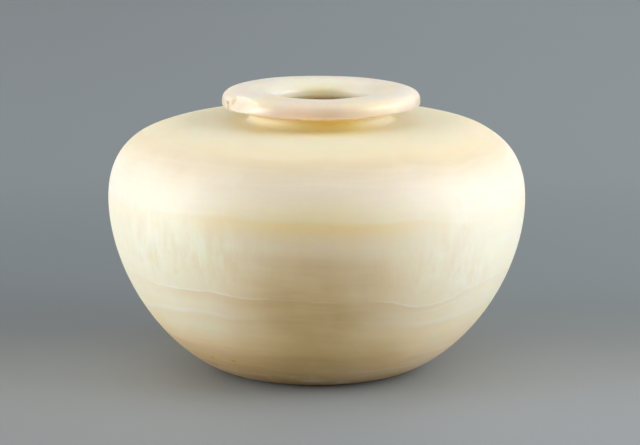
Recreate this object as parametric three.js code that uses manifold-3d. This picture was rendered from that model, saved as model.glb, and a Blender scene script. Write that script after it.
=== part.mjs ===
// A squat, broad-shouldered jar with a rolled lip, hollowed from one block of banded calcite.
// Millimetres, +Z up. The origin is the middle of the flat underside, and the front faces -Y.

import * as THREE from "three";
import { mergeVertices } from "three/addons/utils/BufferGeometryUtils.js";
import Module from "manifold-3d";

const wasm = await Module();
wasm.setup();

// Body, outside.
const FOOT_RADIUS = 47; // flat underside
const BELLY_RADIUS = 110;
const BELLY_HEIGHT = 90.5; // height of the widest ring
const SHOULDER_RISE = 41.8; // from the widest ring to the root of the neck

// Neck and lip, outside.
const NECK_RADIUS = 37;
const NECK_HEIGHT = 6.2; // open groove between shoulder and lip
const NECK_FILLET = 2.8; // at the root of the neck and under the lip
const LIP_THICKNESS = 10.1;
const LIP_OVERHANG = 15.1; // how far the lip stands out past the neck
const LIP_EDGE_RISE = 2.7; // from the lip's underside up to its outer edge
const LIP_CROWN = 14.1; // from the outer edge in to the crest
const RIM_OFFSET = 2.2; // neck and lip were cut this far off the body's axis, towards +X

// Hollow.
const BODY_WALL = 8; // at the widest ring
const SHOULDER_WALL = 9;
const FLOOR_THICKNESS = 13;
const FLOOR_ROUND = 5; // the flat floor is this much smaller in radius than the underside
const NECK_WALL = 8;
const BORE_ROUND = 3; // where the neck's bore opens into the body
const MOUTH_LEDGE = 4.3; // the mouth is this much tighter in radius than the neck's bore
const MOUTH_DIP = 5.4; // the lip's top rounds over this far from its crest in to the mouth
const MOUTH_DEPTH = 3.6; // straight wall of the mouth
const LEDGE_DROP = 1.6; // the slant under that wall, out to the bore

// Flake broken off the lip's upper edge, at the front left.
const FLAKE_AZIMUTH = -55; // degrees from the front, towards -X when negative
const FLAKE_TILT = 30; // degrees that the break faces upwards
const FLAKE_DEPTH = 1.2;
const FLAKE_LEFT = 7.6; // the break stops in a step this far left of its middle
const FLAKE_RIGHT = 14; // and runs out before this far to the right

// How full each curve is: 1 and 1 is an ellipse, and less is squarer.
const LOWER_BODY = { across: 1.337, up: 1.082 };
const SHOULDER = { across: 0.557, up: 0.869 };
const LIP_TOP = { across: 0.55, up: 0.58 };
const ELLIPSE = { across: 1, up: 1 };

// Fineness of the turned form.
const MERIDIANS = 64;
const STEPS = { body: 9, shoulder: 9, hollow: 7, lip: 5, fillet: 2 };

const STONE = { color: 0xe8ddbd, roughness: 0.42, metalness: 0 };

const shoulderHeight = BELLY_HEIGHT + SHOULDER_RISE;
const lipUnderside = shoulderHeight + NECK_HEIGHT;
const lipEdge = lipUnderside + LIP_EDGE_RISE;
const jarHeight = lipUnderside + LIP_THICKNESS;
const mouthEdge = jarHeight - MOUTH_DIP;
const lipRadius = NECK_RADIUS + LIP_OVERHANG;
const crestRadius = lipRadius - LIP_CROWN;
const neckFillet = Math.min(NECK_FILLET, NECK_HEIGHT / 2);
const boreRadius = NECK_RADIUS - NECK_WALL;
const mouthRadius = boreRadius - MOUTH_LEDGE;
const hollowTop = shoulderHeight - SHOULDER_WALL;

// One point of the turned profile: distance from the axis, and height.
const at = (radius, height) => new THREE.Vector2(radius, height);

// A quarter of a superellipse between two points, level at `level` and upright at `upright`.
function quarter(level, upright, fullness, steps) {
  const points = [];
  for (let i = 0; i <= steps; i++) {
    const angle = (i / steps) * (Math.PI / 2);
    const across = Math.sin(angle) ** fullness.across;
    const up = 1 - Math.cos(angle) ** fullness.up;
    points.push(
      at(
        THREE.MathUtils.lerp(level.x, upright.x, across),
        THREE.MathUtils.lerp(level.y, upright.y, up),
      ),
    );
  }
  return points;
}

// The same kind of curve, drawn from its upright end, with steps that follow the rise.
function domed(upright, level, fullness, steps) {
  const points = [];
  for (let i = 0; i <= steps; i++) {
    const angle = (i / steps) * (Math.PI / 2);
    const across = Math.cos(angle) ** fullness.across;
    const up = Math.sin(angle) ** fullness.up;
    points.push(
      at(
        THREE.MathUtils.lerp(level.x, upright.x, across),
        THREE.MathUtils.lerp(upright.y, level.y, up),
      ),
    );
  }
  return points;
}

function bodyOutside() {
  const belly = at(BELLY_RADIUS, BELLY_HEIGHT);
  const neckRoot = at(NECK_RADIUS + neckFillet, shoulderHeight);
  return [
    ...quarter(at(FOOT_RADIUS, 0), belly, LOWER_BODY, STEPS.body),
    ...domed(belly, neckRoot, SHOULDER, STEPS.shoulder),
  ];
}

// The groove under the lip: a fillet up from the shoulder, and one out to the lip's underside.
function neckOutside() {
  const root = at(NECK_RADIUS + neckFillet, shoulderHeight);
  const underLip = at(NECK_RADIUS + neckFillet, lipUnderside);
  return [
    ...quarter(root, at(NECK_RADIUS, shoulderHeight + neckFillet), ELLIPSE, STEPS.fillet),
    ...quarter(underLip, at(NECK_RADIUS, lipUnderside - neckFillet), ELLIPSE, STEPS.fillet).reverse(),
  ];
}

// The lip's rolled outside, from its underside round its outer edge to its crest.
function lipOutside() {
  const edge = at(lipRadius, lipEdge);
  const underside = at(NECK_RADIUS + neckFillet, lipUnderside);
  return [
    ...quarter(underside, edge, ELLIPSE, STEPS.lip),
    ...quarter(at(crestRadius, jarHeight), edge, LIP_TOP, STEPS.lip).reverse(),
  ];
}

// From the crest over into the mouth, down its wall, out under it and down the neck's bore.
function mouthInside() {
  const ledge = mouthEdge - MOUTH_DEPTH;
  return [
    ...quarter(at(crestRadius, jarHeight), at(mouthRadius, mouthEdge), ELLIPSE, STEPS.lip),
    at(mouthRadius, ledge),
    at(boreRadius, ledge - LEDGE_DROP),
    ...quarter(
      at(boreRadius + BORE_ROUND, hollowTop),
      at(boreRadius, hollowTop + BORE_ROUND),
      ELLIPSE,
      STEPS.fillet,
    ).reverse(),
  ];
}

function bodyInside() {
  const belly = at(BELLY_RADIUS - BODY_WALL, BELLY_HEIGHT);
  const top = at(boreRadius + BORE_ROUND, hollowTop);
  const floor = at(FOOT_RADIUS - FLOOR_ROUND, FLOOR_THICKNESS);
  return [
    ...domed(belly, top, SHOULDER, STEPS.hollow).reverse(),
    ...quarter(floor, belly, LOWER_BODY, STEPS.hollow).reverse(),
  ];
}

// The whole section, from the middle of the underside up the outside, over the lip and down inside.
function profile() {
  const points = [
    at(0, 0),
    ...bodyOutside(),
    ...neckOutside(),
    ...lipOutside(),
    ...mouthInside(),
    ...bodyInside(),
    at(0, FLOOR_THICKNESS),
  ];
  const closest = 0.01; // neighbouring curves share an end, which is kept once
  return points.filter((p, i) => i === 0 || p.distanceTo(points[i - 1]) > closest);
}

// Slides the neck and lip off the axis, easing in between the hollow's top and the shoulder's.
function runOffCentre(geometry) {
  const position = geometry.getAttribute("position");
  for (let i = 0; i < position.count; i++) {
    const share = THREE.MathUtils.smoothstep(position.getZ(i), hollowTop, shoulderHeight);
    position.setX(i, position.getX(i) + RIM_OFFSET * share);
  }
  return geometry;
}

// A closed mesh as a solid that can be cut.
function solid(geometry) {
  const bare = geometry.clone();
  bare.deleteAttribute("normal");
  bare.deleteAttribute("uv");
  const merged = mergeVertices(bare, 1e-3);
  return new wasm.Manifold(
    new wasm.Mesh({
      numProp: 3,
      vertProperties: new Float32Array(merged.getAttribute("position").array),
      triVerts: new Uint32Array(merged.index.array),
    }),
  );
}

// A cut solid as a mesh again.
function surface(cutSolid) {
  const { vertProperties, triVerts } = cutSolid.getMesh();
  const geometry = new THREE.BufferGeometry();
  geometry.setAttribute("position", new THREE.BufferAttribute(vertProperties, 3));
  geometry.setIndex(new THREE.BufferAttribute(triVerts, 1));
  geometry.computeVertexNormals();
  return geometry;
}

// The block of space that the flake left: its inner face is the break, set into the middle of
// the round from the lip's crest to its outer edge.
function flake() {
  const outward = LIP_THICKNESS; // reaches well past the lip's outer edge
  const block = new THREE.BoxGeometry(FLAKE_LEFT + FLAKE_RIGHT, outward, 3 * LIP_THICKNESS);
  block.translate((FLAKE_RIGHT - FLAKE_LEFT) / 2, FLAKE_DEPTH - outward / 2, 0);
  block.rotateX(-THREE.MathUtils.degToRad(FLAKE_TILT));
  const middle = Math.SQRT1_2; // sine and cosine of half a quarter turn
  block.translate(
    0,
    -THREE.MathUtils.lerp(crestRadius, lipRadius, middle ** LIP_TOP.across),
    THREE.MathUtils.lerp(lipEdge, jarHeight, middle ** LIP_TOP.up),
  );
  block.rotateZ(THREE.MathUtils.degToRad(FLAKE_AZIMUTH));
  block.translate(RIM_OFFSET, 0, 0);
  return block;
}

const turned = new THREE.LatheGeometry(profile(), MERIDIANS);
turned.rotateX(Math.PI / 2);

const jar = new THREE.Mesh(
  surface(solid(runOffCentre(turned)).subtract(solid(flake()))),
  new THREE.MeshStandardMaterial(STONE),
);
jar.name = "jar";

const group = new THREE.Group();
group.add(jar);

export default group;
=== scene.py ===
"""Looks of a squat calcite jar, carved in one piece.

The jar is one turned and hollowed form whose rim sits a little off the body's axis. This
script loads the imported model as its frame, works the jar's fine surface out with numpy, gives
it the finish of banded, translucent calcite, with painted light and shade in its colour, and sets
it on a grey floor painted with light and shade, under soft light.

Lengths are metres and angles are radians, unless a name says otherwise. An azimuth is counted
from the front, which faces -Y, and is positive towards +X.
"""

import logging
from dataclasses import dataclass, field
from enum import Enum
from itertools import pairwise
from math import cos, pi, radians, sin

import bpy
import numpy as np
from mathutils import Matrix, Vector

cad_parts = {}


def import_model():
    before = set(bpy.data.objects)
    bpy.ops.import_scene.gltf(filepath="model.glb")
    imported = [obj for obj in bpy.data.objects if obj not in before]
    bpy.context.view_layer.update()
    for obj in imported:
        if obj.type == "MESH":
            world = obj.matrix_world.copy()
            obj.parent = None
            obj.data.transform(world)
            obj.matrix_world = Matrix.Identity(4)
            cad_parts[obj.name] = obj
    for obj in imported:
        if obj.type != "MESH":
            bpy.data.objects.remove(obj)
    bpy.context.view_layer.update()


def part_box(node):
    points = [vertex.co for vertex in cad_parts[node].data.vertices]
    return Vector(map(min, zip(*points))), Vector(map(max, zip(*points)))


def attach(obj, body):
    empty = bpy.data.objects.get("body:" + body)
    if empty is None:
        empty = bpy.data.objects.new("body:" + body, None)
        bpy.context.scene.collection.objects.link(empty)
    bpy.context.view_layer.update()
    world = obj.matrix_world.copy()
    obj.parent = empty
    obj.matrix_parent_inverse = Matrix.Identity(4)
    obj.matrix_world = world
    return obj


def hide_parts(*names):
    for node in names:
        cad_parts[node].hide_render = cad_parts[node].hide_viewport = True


Array = np.ndarray
Socket = bpy.types.NodeSocket
Value = Socket | float
Colour = tuple[float, float, float]
Point = tuple[float, float, float]
Ring = tuple[float, float]  # radius and height of a ring round the axis
Stops = tuple[tuple[float, float], ...]  # places along a way, and the value at each
Ease = tuple[float, float, float]  # where a share is 0, where it is full, and the full share

LOG = logging.getLogger("jar")
MM = 0.001
DENSE = 1201  # points of a curve before it is thinned


class Mark(Enum):
    """What a vertex attribute of the jar says, from 0, not at all, to 1."""

    INSIDE = "inside"
    LIP = "lip"
    SCAR = "scar"
    DIRT = "dirt"
    # Milky stone, and also painted light and a painted highlight.
    MILK_AND_LIGHT = "milk_and_light"
    # Amber stone, and also painted amber glow and shade.
    HONEY_AND_GLOW = "honey_and_glow"
    # Pinkish stone, and also painted shade on the lip's front.
    ROSE_AND_SHADE = "rose_and_shade"
    # Brown stone, and also painted shade on the body's front.
    BROWN = "brown"
    FEATHER = "feather"


@dataclass(frozen=True)
class Fullness:
    """How full a quarter curve is: 1 and 1 is an ellipse, and less is squarer."""

    across: float = 1.0
    up: float = 1.0


def smooth_step(value: Array, low: float, high: float) -> Array:
    """Eases from 0 at `low` to 1 at `high`.

    With t the share of the way from low to high, held between 0 and 1, it is 3t² - 2t³.

    Args:
        value: Numbers to place.
        low: Where the step starts.
        high: Where it ends, above `low` or below it.

    Returns:
        The eased share at each number.
    """
    share = np.clip((value - low) / (high - low), 0.0, 1.0)
    return share * share * (3.0 - 2.0 * share)


def azimuth_degrees(points: Array) -> Array:
    """The azimuth of each point, in degrees from -180 to 180."""
    return np.degrees(np.arctan2(points[..., 0], -points[..., 1]))


def mm(x: float, y: float, z: float) -> Point:
    """Three lengths given in millimetres."""
    return (x * MM, y * MM, z * MM)


def quarter(start: Ring, end: Ring, full: Fullness, level_first: bool) -> Array:
    """Draws a quarter of a superellipse that is level at one end and upright at the other.

    With t from 0 to a quarter turn, the way across is sin(t) to the power `full.across`, and
    the way up is 1 - cos(t) to the power `full.up`. A curve that starts upright is the same
    with sine and cosine exchanged.

    Args:
        start: Radius and height of the first point.
        end: Radius and height of the last point.
        full: How full the curve is.
        level_first: Whether the curve is level where it starts.

    Returns:
        Points as rows of radius and height.
    """
    turn = np.linspace(0.0, pi / 2, DENSE)
    if level_first:
        across = np.sin(turn) ** full.across
        up = 1.0 - np.cos(turn) ** full.up
    else:
        across = 1.0 - np.cos(turn) ** full.across
        up = np.sin(turn) ** full.up
    radius = start[0] + (end[0] - start[0]) * across
    height = start[1] + (end[1] - start[1]) * up
    return np.column_stack((radius, height))


def thinned(line: Array, spacing: Array | float) -> Array:
    """Keeps points of a dense line so that neighbours lie about `spacing` apart.

    The number of steps up to a point is the sum of each short stretch over its spacing. The
    line is then read again at whole numbers of steps, stretched to end on its last point.

    Args:
        line: Points as rows of radius and height, close together.
        spacing: Distance between kept points, one for all or one for each point.

    Returns:
        The kept points.
    """
    stretch = np.linalg.norm(np.diff(line, axis=0), axis=1)
    gap = np.broadcast_to(spacing, len(line))[1:]
    steps = np.concatenate(([0.0], np.cumsum(stretch / gap)))
    count = max(2, round(steps[-1]))
    kept = np.linspace(0.0, steps[-1], count + 1)
    return np.column_stack([np.interp(kept, steps, line[:, axis]) for axis in (0, 1)])


@dataclass(frozen=True)
class Ripple:
    """Slow unevenness of a surface worked by hand.

    Attributes:
        height: Root mean square height.
        longest: Longest wavelength.
        shortest: Shortest wavelength.
        seed: Start of the random draw.
        waves: How many waves are added up.
    """

    height: float
    longest: float
    shortest: float
    seed: int
    waves: int = 24

    def at(self, points: Array) -> Array:
        """Height of the unevenness at each point.

        It is the sum of plane waves, cos(k · p + phase), with random directions and phases
        and wavelengths spread evenly between the two limits.

        Args:
            points: Places, with x, y and z last.

        Returns:
            One height for each place.
        """
        draw = np.random.default_rng(self.seed)
        direction = draw.normal(size=(self.waves, 3))
        direction /= np.linalg.norm(direction, axis=1, keepdims=True)
        length = draw.uniform(self.shortest, self.longest, self.waves)
        phase = draw.uniform(0.0, 2 * pi, self.waves)
        total = np.zeros(points.shape[:-1])
        for towards, wavelength, start in zip(direction, length, phase, strict=True):
            total += np.cos(points @ (towards * 2 * pi / wavelength) + start)
        return total * self.height * np.sqrt(2.0 / self.waves)


@dataclass(frozen=True)
class Pit:
    """A small hollow in the surface, such as a pit, nick or edge chip.

    Attributes:
        place: Its middle, on the surface.
        size: Half-widths along x, y and z.
        depth: How deep it is in the middle.
        dirt: How dark the dirt in it is, from 0 to 1.
        ragged: How uneven its edge is, as a share of its size.
        steep: 1 for a round dent, and more for a flat floor with steep sides.
    """

    place: Point
    size: Point
    depth: float
    dirt: float = 0.0
    ragged: float = 0.25
    steep: float = 1.5

    def share(self, points: Array) -> Array:
        """How much of the pit's depth each point has.

        It is exp(-d to the power of twice `steep`), where d is the distance from the middle
        with each axis measured in half-widths. Waves drawn from the pit's place make d
        uneven, so that the edge is ragged.

        Args:
            points: Places, with x, y and z last.

        Returns:
            One share for each place, from 0 to 1.
        """
        away = np.linalg.norm((points - np.array(self.place)) / np.array(self.size), axis=-1)
        span = 2.0 * max(self.size)
        per_metre = 1e5  # places 0.01 mm apart draw waves of their own
        seed = round(abs(self.place[0]) * per_metre) + round(abs(self.place[2]) * per_metre)
        edge = Ripple(self.ragged, span, span / 4, seed).at(points)
        least = 0.3  # keeps the edge within 1 / 0.3 of the pit's size
        return np.exp(-((away * np.maximum(least, 1.0 + edge)) ** (2.0 * self.steep)))


@dataclass(frozen=True)
class Cloud:
    """A soft patch of colour: other colour in the stone, and in some patches painted light, glow and
    shade.

    Attributes:
        mark: Which colour it brings.
        place: Its middle.
        size: Half-widths along x, y and z.
        strength: How much of its colour shows in the middle.
        ragged: How uneven its edge is, as a share of its size.
    """

    mark: Mark
    place: Point
    size: Point
    strength: float
    ragged: float = 0.2

    def share(self, points: Array) -> Array:
        """How much of the cloud's colour each point has, like a pit's depth with soft sides.

        Args:
            points: Places, with x, y and z last.

        Returns:
            One share for each place.
        """
        soft = Pit(self.place, self.size, depth=0.0, ragged=self.ragged, steep=1.0)
        return self.strength * soft.share(points)


@dataclass(frozen=True)
class Seam:
    """A line between two beds of the stone, and the way it takes round the jar.

    Attributes:
        name: Start of the names of its two vertex attributes.
        height: The height that the bed below it is counted as ending at.
        path: Its height in millimetres at azimuths in degrees, in order.
        shown: How strongly it shows, from 0 to 1, at azimuths in degrees, in order.
        breadth: Half its breadth.
        colour: Its colour.
        shade: Colour of the stone just below it.
        fade: How far down that colour fades out.
        shaded: How strong that colour is, as a share of the line's strength.
        guides: Whether the beds follow it.
    """

    name: str
    height: float
    path: Stops
    shown: Stops
    breadth: float
    colour: Colour
    shade: Colour = (0.80, 0.62, 0.38)
    fade: float = 7 * MM
    shaded: float = 0.4
    guides: bool = True

    @staticmethod
    def read(turn: Array, stops: Stops) -> Array:
        """Reads eased values at azimuths, right round the turn.

        The stops are joined by straight stretches, and a value is the mean of some readings
        spread over the few degrees round its azimuth.

        Args:
            turn: Azimuths in degrees.
            stops: Azimuths in degrees and the value at each.

        Returns:
            One value for each azimuth.
        """
        reach_deg, readings = 2.0, 9
        at, value = np.array(stops).T
        around = np.linspace(-reach_deg, reach_deg, readings)
        return np.mean([np.interp(turn + step, at, value, period=360.0) for step in around], axis=0)

    def heights(self, points: Array) -> Array:
        """The seam's height at the azimuth of each point."""
        return self.read(azimuth_degrees(points), self.path) * MM

    def strengths(self, points: Array) -> Array:
        """How strongly the seam shows at the azimuth of each point."""
        return self.read(azimuth_degrees(points), self.shown)


@dataclass(frozen=True)
class Flake:
    """The scar that a flake left when it broke off the lip's upper edge.

    The break is one plane, set into the middle of the lip's upper round. It stops in a step at
    its left end.

    Attributes:
        azimuth: Where its middle is.
        tilt: How far the break faces upwards.
        depth: How deep it is in the middle of the round.
        left: How far the step is left of the middle.
        right: How far right of the middle the break can reach.
        inward: How far in from the middle it can reach.
        grain: Roughness of the broken stone.
    """

    azimuth: float = radians(-55)
    tilt: float = radians(30)
    depth: float = 1.2 * MM
    left: float = 7.6 * MM
    right: float = 14 * MM
    inward: float = 8 * MM
    grain: Ripple = Ripple(0.09 * MM, 3 * MM, 0.8 * MM, seed=5)

    def cut(self, form: "JarForm", points: Array) -> tuple[Array, Array]:
        """Moves what stands past the break back onto it.

        Args:
            form: The jar that it belongs to.
            points: The jar's points.

        Returns:
            The moved points, and for each 1 if it belongs to the scar and 0 if not.
        """
        outward = np.array([sin(self.azimuth), -cos(self.azimuth), 0.0])
        along = np.array([cos(self.azimuth), sin(self.azimuth), 0.0])
        facing = outward * cos(self.tilt) + np.array([0.0, 0.0, sin(self.tilt)])
        over = form.lip_round()
        radius, height = over[len(over) // 2]
        middle = outward * radius - facing * self.depth
        middle += np.array([form.rim_offset, 0.0, height])
        offset = points - middle
        past = offset @ facing - self.grain.at(points)
        sideways = offset @ along
        between = (sideways > -self.left) & (sideways < self.right)
        reached = between & (offset @ outward > -self.inward)
        on_lip = points[..., 2] > form.lip_underside
        broken = (past > 0.0) & reached & on_lip
        moved = points - np.where(broken, past, 0.0)[..., None] * facing
        return moved, broken.astype(float)


@dataclass(frozen=True)
class Rows:
    """How far apart the mesh's rows are on each stretch of the section.

    Attributes:
        pole: Radius of the first and the last row, which fans of triangles close.
        underside: On the flat underside.
        lower_body: From there out to the widest ring.
        closer: How much closer than that they are in the zone with pits.
        pit_zone: Heights where that zone begins, is full, starts to fade, and ends.
        shoulder: From the widest ring in to the neck.
        groove: In the groove under the lip.
        lip: On the lip's outside.
        crest: From the lip's crest in to the mouth.
        mouth: On the mouth's wall, and on the slant under it.
        bore: On the round at the foot of the bore.
        roof: In the hollow, under the shoulder.
        wall: From the hollow's widest ring down to its floor.
        floor: On that floor.
    """

    pole: float = 2 * MM
    underside: float = 8 * MM
    lower_body: float = 2.6 * MM
    closer: float = 1.8 * MM
    pit_zone: tuple[float, float, float, float] = (3 * MM, 6 * MM, 18 * MM, 24 * MM)
    shoulder: float = 2.8 * MM
    groove: float = 0.9 * MM
    lip: float = 0.7 * MM
    crest: float = 0.8 * MM
    mouth: float = 1.5 * MM
    bore: float = 1.6 * MM
    roof: float = 9 * MM
    wall: float = 11 * MM
    floor: float = 20 * MM


@dataclass(frozen=True)
class JarForm:
    """The jar's measurements and its turned form.

    Attributes:
        belly_radius: Radius of the widest ring, from the frame.
        jar_height: Whole height, from the frame.
        foot_radius: Radius of the flat underside.
        belly_height: Height of the widest ring.
        neck_radius: Outer radius in the groove under the lip.
        neck_height: Opening of that groove, from shoulder to lip.
        neck_fillet: Round at the top and bottom of the groove.
        lip_thickness: Height of the rolled lip.
        lip_overhang: How far the lip stands out past the neck.
        lip_edge_rise: From the lip's underside up to its outer edge.
        lip_crown: From the lip's outer edge in to its crest.
        rim_offset: How far the neck and lip are off the body's axis, towards +X.
        body_wall: Wall at the widest ring.
        shoulder_wall: Wall at the root of the neck.
        floor_thickness: Stone under the hollow.
        floor_round: How much smaller in radius the flat floor is than the underside.
        neck_wall: Wall of the neck.
        bore_round: Round where the bore opens into the body.
        mouth_ledge: How much tighter in radius the mouth is than the bore.
        mouth_dip: How far the lip's top rounds over from its crest in to the mouth.
        mouth_depth: Straight wall of the mouth.
        ledge_drop: The slant under that wall, out to the bore.
        lower_body: How full the curve is from the underside out to the widest ring.
        shoulder: How full it is from there in to the neck.
        lip_top: How full it is from the lip's outer edge in to its crest.
        rows: How far apart the mesh's rows are.
    """

    belly_radius: float
    jar_height: float
    foot_radius: float = 47 * MM
    belly_height: float = 90.5 * MM
    neck_radius: float = 37 * MM
    neck_height: float = 6.2 * MM
    neck_fillet: float = 2.8 * MM
    lip_thickness: float = 10.1 * MM
    lip_overhang: float = 15.1 * MM
    lip_edge_rise: float = 2.7 * MM
    lip_crown: float = 14.1 * MM
    rim_offset: float = 2.2 * MM
    body_wall: float = 8 * MM
    shoulder_wall: float = 9 * MM
    floor_thickness: float = 13 * MM
    floor_round: float = 5 * MM
    neck_wall: float = 8 * MM
    bore_round: float = 3 * MM
    mouth_ledge: float = 4.3 * MM
    mouth_dip: float = 5.4 * MM
    mouth_depth: float = 3.6 * MM
    ledge_drop: float = 1.6 * MM
    lower_body: Fullness = Fullness(1.337, 1.082)
    shoulder: Fullness = Fullness(0.557, 0.869)
    lip_top: Fullness = Fullness(0.55, 0.58)
    rows: Rows = Rows()

    @classmethod
    def from_frame(cls, node: str) -> "JarForm":
        """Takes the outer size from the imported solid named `node`."""
        low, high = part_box(node)
        return cls(belly_radius=(high.x - low.x) / 2, jar_height=high.z - low.z)

    @property
    def lip_underside(self) -> float:
        """Height of the lip's underside."""
        return self.jar_height - self.lip_thickness

    @property
    def lip_edge(self) -> float:
        """Height of the lip's outer edge."""
        return self.lip_underside + self.lip_edge_rise

    @property
    def mouth_edge(self) -> float:
        """Height of the lip's top at the mouth."""
        return self.jar_height - self.mouth_dip

    @property
    def shoulder_height(self) -> float:
        """Height of the root of the neck."""
        return self.lip_underside - self.neck_height

    @property
    def lip_radius(self) -> float:
        """Radius of the lip's outer edge."""
        return self.neck_radius + self.lip_overhang

    @property
    def crest_radius(self) -> float:
        """Radius of the lip's highest ring."""
        return self.lip_radius - self.lip_crown

    @property
    def bore_radius(self) -> float:
        """Inner radius of the neck, under the ledge."""
        return self.neck_radius - self.neck_wall

    @property
    def mouth_radius(self) -> float:
        """Radius of the mouth's tightest ring."""
        return self.bore_radius - self.mouth_ledge

    @property
    def hollow_top(self) -> float:
        """Height of the hollow's roof beside the bore."""
        return self.shoulder_height - self.shoulder_wall

    def outside(self) -> list[Array]:
        """The stretches of the section from the middle of the underside up to the neck.

        Returns:
            Points as rows of radius and height, one array for each stretch.
        """
        foot = (self.foot_radius, 0.0)
        belly = (self.belly_radius, self.belly_height)
        root = (self.neck_radius + self.neck_fillet, self.shoulder_height)
        lower = quarter(foot, belly, self.lower_body, level_first=True)
        begin, full, fading, end = self.rows.pit_zone
        pitted = smooth_step(lower[:, 1], end, fading) * smooth_step(lower[:, 1], begin, full)
        return [
            thinned(np.array([(self.rows.pole, 0.0), foot]), self.rows.underside),
            thinned(lower, self.rows.lower_body - self.rows.closer * pitted),
            thinned(quarter(belly, root, self.shoulder, level_first=False), self.rows.shoulder),
        ]

    def groove(self) -> Array:
        """The groove under the lip: a round up from the shoulder and one out to the lip.

        Returns:
            Points as rows of radius and height.
        """
        full = Fullness()
        root = (self.neck_radius + self.neck_fillet, self.shoulder_height)
        low = (self.neck_radius, self.shoulder_height + self.neck_fillet)
        high = (self.neck_radius, self.lip_underside - self.neck_fillet)
        under_lip = (self.neck_radius + self.neck_fillet, self.lip_underside)
        rise = quarter(root, low, full, level_first=True)
        out = quarter(high, under_lip, full, level_first=False)
        return thinned(np.concatenate((rise, out)), self.rows.groove)

    def lip_round(self) -> Array:
        """The round from the lip's outer edge up to its crest.

        Returns:
            Points as rows of radius and height.
        """
        crest = (self.crest_radius, self.jar_height)
        edge = (self.lip_radius, self.lip_edge)
        return quarter(crest, edge, self.lip_top, level_first=True)[::-1]

    def lip(self) -> Array:
        """The lip's rolled outside, from its underside round its outer edge to its crest.

        Returns:
            Points as rows of radius and height.
        """
        underside = (self.neck_radius + self.neck_fillet, self.lip_underside)
        edge = (self.lip_radius, self.lip_edge)
        under = quarter(underside, edge, Fullness(), level_first=True)
        return thinned(np.concatenate((under, self.lip_round())), self.rows.lip)

    def mouth(self) -> list[Array]:
        """From the crest over into the mouth, down its wall, out under it and down the bore.

        Returns:
            Points as rows of radius and height, one array for each stretch.
        """
        full = Fullness()
        crest = (self.crest_radius, self.jar_height)
        wall = (self.mouth_radius, self.mouth_edge)
        ledge = (self.mouth_radius, self.mouth_edge - self.mouth_depth)
        under = (self.bore_radius, ledge[1] - self.ledge_drop)
        bore_foot = (self.bore_radius, self.hollow_top + self.bore_round)
        roof = (self.bore_radius + self.bore_round, self.hollow_top)
        return [
            thinned(quarter(crest, wall, full, level_first=True), self.rows.crest),
            thinned(np.array([wall, ledge]), self.rows.mouth),
            thinned(np.array([ledge, under]), self.rows.mouth),
            thinned(quarter(bore_foot, roof, full, level_first=False), self.rows.bore),
        ]

    def inside(self) -> list[Array]:
        """The hollow, from its roof beside the bore down to the middle of its floor.

        Returns:
            Points as rows of radius and height, one array for each stretch.
        """
        belly = (self.belly_radius - self.body_wall, self.belly_height)
        roof = (self.bore_radius + self.bore_round, self.hollow_top)
        floor = (self.foot_radius - self.floor_round, self.floor_thickness)
        upper = quarter(belly, roof, self.shoulder, level_first=False)[::-1]
        lower = quarter(floor, belly, self.lower_body, level_first=True)[::-1]
        return [
            thinned(upper, self.rows.roof),
            thinned(lower, self.rows.wall),
            thinned(np.array([floor, (self.rows.pole, self.floor_thickness)]), self.rows.floor),
        ]

    def section(self) -> tuple[Array, Array]:
        """Joins the stretches of the turned section, and keeps a point that two share once.

        Returns:
            Points as rows of radius and height, and for each whether it faces the hollow.
        """
        outer = [*self.outside(), self.groove(), self.lip()]
        inner = [*self.mouth(), *self.inside()]
        line = np.concatenate(outer + inner)
        hollow = np.arange(len(line)) >= sum(len(stretch) for stretch in outer)
        closest = 0.01 * MM
        apart = np.linalg.norm(np.diff(line, axis=0), axis=1) > closest
        kept = np.concatenate(([True], apart))
        return line[kept], hollow[kept]

    def on_body(self, azimuth_deg: float, height_mm: float) -> Point:
        """A point on the body's outside.

        Args:
            azimuth_deg: Its azimuth, in degrees.
            height_mm: Its height, in millimetres.

        Returns:
            The point.
        """
        turn = radians(azimuth_deg)
        line = np.concatenate(self.outside()[1:])
        radius = float(np.interp(height_mm * MM, line[:, 1], line[:, 0]))
        return (radius * sin(turn), -radius * cos(turn), height_mm * MM)

    def on_lip(self, azimuth_deg: float, up_mm: float) -> Point:
        """A point on the lip's outside.

        Args:
            azimuth_deg: Its azimuth about the rim's own axis, in degrees.
            up_mm: How far it is above the lip's outer edge, or below it when negative.

        Returns:
            The point.
        """
        turn = radians(azimuth_deg)
        up = up_mm * MM
        line = self.lip()
        radius = np.interp(self.lip_edge + up, line[:, 1], line[:, 0])
        return (self.rim_offset + radius * sin(turn), -radius * cos(turn), self.lip_edge + up)


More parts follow.
